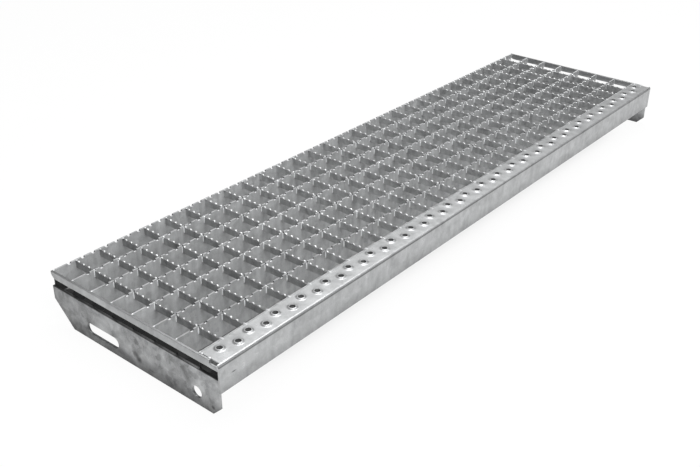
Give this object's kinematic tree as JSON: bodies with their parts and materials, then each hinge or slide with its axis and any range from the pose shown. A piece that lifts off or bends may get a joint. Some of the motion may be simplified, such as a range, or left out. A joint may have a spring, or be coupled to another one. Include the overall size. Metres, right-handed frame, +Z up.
{
  "type": "metal stair tread",
  "caption": "Galvanised stair tread of serrated press-locked grating, with drilled end plates that bolt to stringers and a folded nosing with raised holes.",
  "frame": {"origin": "on the ground under the middle of the tread, which stands on the bottom edges of its end plates", "axes": "+X along the tread from its left to its right end, -Y out of the nosing, +Z up"},
  "size_m": [1, 0.27, 0.0675],
  "materials": {
    "grating_steel": "hot-dip galvanised, dull",
    "end_steel": "hot-dip galvanised, mottled",
    "nosing_steel": "hot-dip galvanised, bright"
  },
  "bodies": {
    "root": {"back_bar": "grating_steel", "front_bar": "grating_steel", "bearing_bar_1": "grating_steel", "bearing_bar_2": "grating_steel", "bearing_bar_3": "grating_steel", "bearing_bar_4": "grating_steel", "bearing_bar_5": "grating_steel", "bearing_bar_6": "grating_steel", "cross_bar_01": "grating_steel", "cross_bar_02": "grating_steel", "cross_bar_03": "grating_steel", "cross_bar_04": "grating_steel", "cross_bar_05": "grating_steel", "cross_bar_06": "grating_steel", "cross_bar_07": "grating_steel", "cross_bar_08": "grating_steel", "cross_bar_09": "grating_steel", "cross_bar_10": "grating_steel", "cross_bar_11": "grating_steel", "cross_bar_12": "grating_steel", "cross_bar_13": "grating_steel", "cross_bar_14": "grating_steel", "cross_bar_15": "grating_steel", "cross_bar_16": "grating_steel", "cross_bar_17": "grating_steel", "cross_bar_18": "grating_steel", "cross_bar_19": "grating_steel", "cross_bar_20": "grating_steel", "cross_bar_21": "grating_steel", "cross_bar_22": "grating_steel", "cross_bar_23": "grating_steel", "cross_bar_24": "grating_steel", "cross_bar_25": "grating_steel", "cross_bar_26": "grating_steel", "cross_bar_27": "grating_steel", "cross_bar_28": "grating_steel", "cross_bar_29": "grating_steel", "end_binding_left": "end_steel", "end_binding_right": "end_steel", "end_plate_left": "end_steel", "end_plate_right": "end_steel", "nosing": "nosing_steel"}
  },
  "joints": []
}
